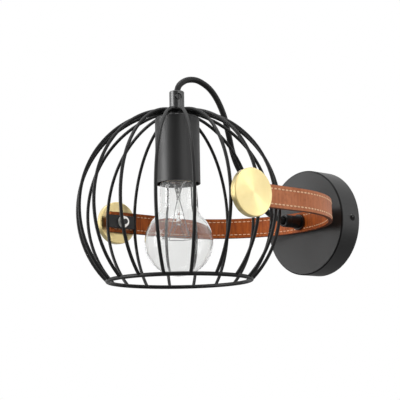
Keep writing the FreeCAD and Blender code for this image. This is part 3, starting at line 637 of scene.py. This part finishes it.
def glass_bulb():
    """The bulb's closed wall, from the lowest point of the globe to inside the cap."""
    mesh = bmesh.new()
    rise = math.sqrt((GLOBE + SHOULDER) ** 2 - (NECK + SHOULDER) ** 2)
    lift = math.atan2(rise, NECK + SHOULDER)
    globe_centre = PIVOT - Vector((0, 0, GLOBE_DROP))
    shoulder_centre = globe_centre + Vector((NECK + SHOULDER, 0, rise))
    point = mesh.verts.new(globe_centre - Vector((0, 0, GLOBE)))
    point = spun_point(mesh, point, globe_centre, math.pi / 2 + lift, GLOBE_STEPS)
    point = spun_point(mesh, point, shoulder_centre, -lift, SHOULDER_STEPS)
    for radius, level in NECK_RADII_AND_HEIGHTS:
        point = bmesh.ops.extrude_vert_indiv(mesh, verts=[point])["verts"][0]
        point.co = PIVOT + Vector((radius, 0, level)) * MM
    bmesh.ops.spin(mesh, geom=mesh.verts[:] + mesh.edges[:], cent=PIVOT, axis=(0, 0, 1),
                   angle=2 * math.pi, steps=ROUND_STEPS, use_merge=True)
    bmesh.ops.remove_doubles(mesh, verts=mesh.verts, dist=SAME_POINT)
    bmesh.ops.recalc_face_normals(mesh, faces=mesh.faces)
    bmesh.ops.solidify(mesh, geom=mesh.faces[:], thickness=GLASS_WALL)
    data = bpy.data.meshes.new("glass_bulb")
    mesh.to_mesh(data)
    mesh.free()
    print("glass bulb faces", len(data.polygons))
    return shown("glass_bulb", data)


bulb = glass_bulb()
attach(bulb, "bulb")
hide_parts("bulb_glass")

# %% [markdown]
# ## Clear and pressed glass
# Both glasses let nearly all light through. Their mirror is toned down with the
# specular tint, because the large front lamp would leave hard white patches on
# them. The stem inside was pinched while hot, and its folds bend light into fine
# dark lines that cross each other; these lines are painted shade in the stem's
# colour. The middle value of a noise gives such lines. The stem is a thin hollow
# tube, so it bends light less than a solid one would.

# %% Clear glass and the pinched stem
GLASS = {"Transmission_Weight": 0.95, "Roughness": 0.0, "Specular_Tint": grey(0.4)}
RIPPLE_SCALE, FOLD_SCALE = 24.0, 640.0
RIPPLE_BUMP, FOLD_BUMP = 0.6 * MM, 0.5 * MM
FOLD_SHADE_LINE, FOLD_SHADE_END = 0.025, 0.07
PINCH_STARTS, PINCH_ENDS = (7 * MM, 9 * MM), (19 * MM, 24 * MM)

clear = Finish("clear_glass", Base_Color=(0.925, 0.927, 0.921, 1), IOR=1.4, **GLASS)
clear.link(Normal=clear.bump(clear.noise(RIPPLE_SCALE, 1.0), 0.007, RIPPLE_BUMP))
bulb.data.materials.append(clear.material)

pressed = Finish("pressed_glass", IOR=1.3, **GLASS)
pinches = pressed.noise(FOLD_SCALE, 0.0)
level = pressed.axis("Z")
pinched = level.between(*PINCH_STARTS) * (1 - level.between(*PINCH_ENDS))
off_middle = pressed.flow.sum("ABSOLUTE", pinches - 0.5)
# painted shade: dark lines where the stem's folds bend light
painted_fold_shade = (1 - off_middle.between(FOLD_SHADE_LINE, FOLD_SHADE_END)) * pinched
pressed.link(Base_Color=pressed.flow.mix(painted_fold_shade, (0.98, 0.98, 0.97, 1), grey(0.01)),
             Normal=pressed.bump(pinches, 0.5, FOLD_BUMP))
dress(["bulb_stem"], pressed)

# %% [markdown]
# ## Floor and background
# The photograph has a pure white ground with no shadow. The floor is a pale plane
# well below the light. The world lights the object only dimly, so that it is not
# overlit, and it is white where the camera or the glass looks at it. Metal and paint
# mirror a studio: a white backdrop behind and beside the light, and a dim room on
# the side where the photographer stands. That dim room gives the cup and the wires
# their dark middles. It stays in its place in the room, wherever the camera goes.

# %% Pale floor
FLOOR_LEVEL, FLOOR_HALF = -1.3, 6
WHITE = grey(1)

floor_mesh = bmesh.new()
bmesh.ops.create_grid(floor_mesh, x_segments=1, y_segments=1, size=FLOOR_HALF,
                      matrix=Matrix.Translation((0, 0, FLOOR_LEVEL)))
floor_data = bpy.data.meshes.new("floor")
floor_mesh.to_mesh(floor_data)
floor_mesh.free()
floor = shown("floor", floor_data, smooth=False)


def white_when_seen(tree, output, lit, seen, in_metal, in_lighting):
    """Gives an output a mix of a lit surface and a plain white one: all white where
    the camera or glass looks at it, and as white as asked in metal and as a light."""
    paths = Flow(tree).node("ShaderNodeLightPath").socket.node.outputs
    glass = Flow(tree, paths["Is Transmission Ray"])
    mirror = Flow(tree, paths["Is Glossy Ray"]) * (1 - glass)
    looked = Flow(tree, paths["Is Camera Ray"]) + glass
    lighting = (1 - looked) * (1 - mirror)
    share = looked + mirror * in_metal + lighting * in_lighting
    mixed = Flow(tree).node("ShaderNodeMixShader", (), {0: share, 1: lit, 2: seen})
    tree.links.new(mixed.socket, tree.nodes[output].inputs["Surface"])


paper = Finish("floor_paper")
tree = paper.tree
tree.nodes.remove(paper.shader)
lit = Flow(tree).node("ShaderNodeBsdfDiffuse", (), {"Color": grey(0.5)})
seen = Flow(tree).node("ShaderNodeEmission", (), {"Color": WHITE, "Strength": 1.0})
white_when_seen(tree, "Material Output", lit, seen, in_metal=0.1, in_lighting=0.0)
floor.data.materials.append(paper.material)
print("floor ready")

# %% White world with a dim room
ROOM_STARTS, ROOM_FULL = 0.05, 0.82

world = bpy.data.worlds.new("studio")
bpy.context.scene.world = world
world.use_nodes = True
tree = world.node_tree
tree.nodes.remove(tree.nodes["Background"])
dim = Flow(tree).node("ShaderNodeBackground", (), {"Color": WHITE, "Strength": 0.12})
white = Flow(tree).node("ShaderNodeBackground", (), {"Color": WHITE, "Strength": 1.0})
looking = Flow(tree).node("ShaderNodeTexCoord", out="Generated")
to_room = looking.vector("DOT_PRODUCT", looking, tuple(back), out="Value")
backdrop = 1 - to_room.between(ROOM_STARTS, ROOM_FULL)
white_when_seen(tree, "World Output", dim, white, in_metal=backdrop, in_lighting=0.22)
print("world ready")

# %% [markdown]
# ## Soft lamps
# The photograph has soft light from both sides and from above. Small lamps would
# light as well, but metal and paint mirror a lamp's shape, so these are large soft
# boxes. The narrow one behind leans, and the near knob mirrors it: it makes the
# bright cone on the knob's face.

# %% Soft boxes round the light
LAMP_AIM = Vector((0, -0.14, 0.02))


def soft_lamp(name, place, size, brightness, lean=0.0):
    """A soft box, size = (width, height), that looks at the middle of the light. Its
    power is worked out from how bright its face is, because that is what metal shows."""
    light = bpy.data.lights.new(name, "AREA")
    light.shape = "RECTANGLE"
    light.size, light.size_y = size
    light.energy = math.pi * size[0] * size[1] * brightness
    lamp = bpy.data.objects.new(name, light)
    bpy.context.scene.collection.objects.link(lamp)
    turned = (LAMP_AIM - Vector(place)).to_track_quat("-Z", "Y").to_matrix()
    leaning = Matrix.Rotation(math.radians(lean), 4, "Z")
    lamp.matrix_world = Matrix.Translation(place) @ turned.to_4x4() @ leaning


soft_lamp("front_left", (-0.63, -1.71, 0.30), size=(1.0, 1.4), brightness=7.0)
soft_lamp("right", (1.3, -0.25, 0.35), size=(0.8, 1.2), brightness=2.1)
soft_lamp("strip_behind", (1.15, 0.82, 0.33), size=(0.26, 1.5), brightness=1.6, lean=35)
soft_lamp("top", (0.1, -0.4, 1.3), size=(0.8, 0.8), brightness=4.0)
bpy.context.scene.view_settings.view_transform = "Standard"
print("lamps", len(bpy.data.lights))
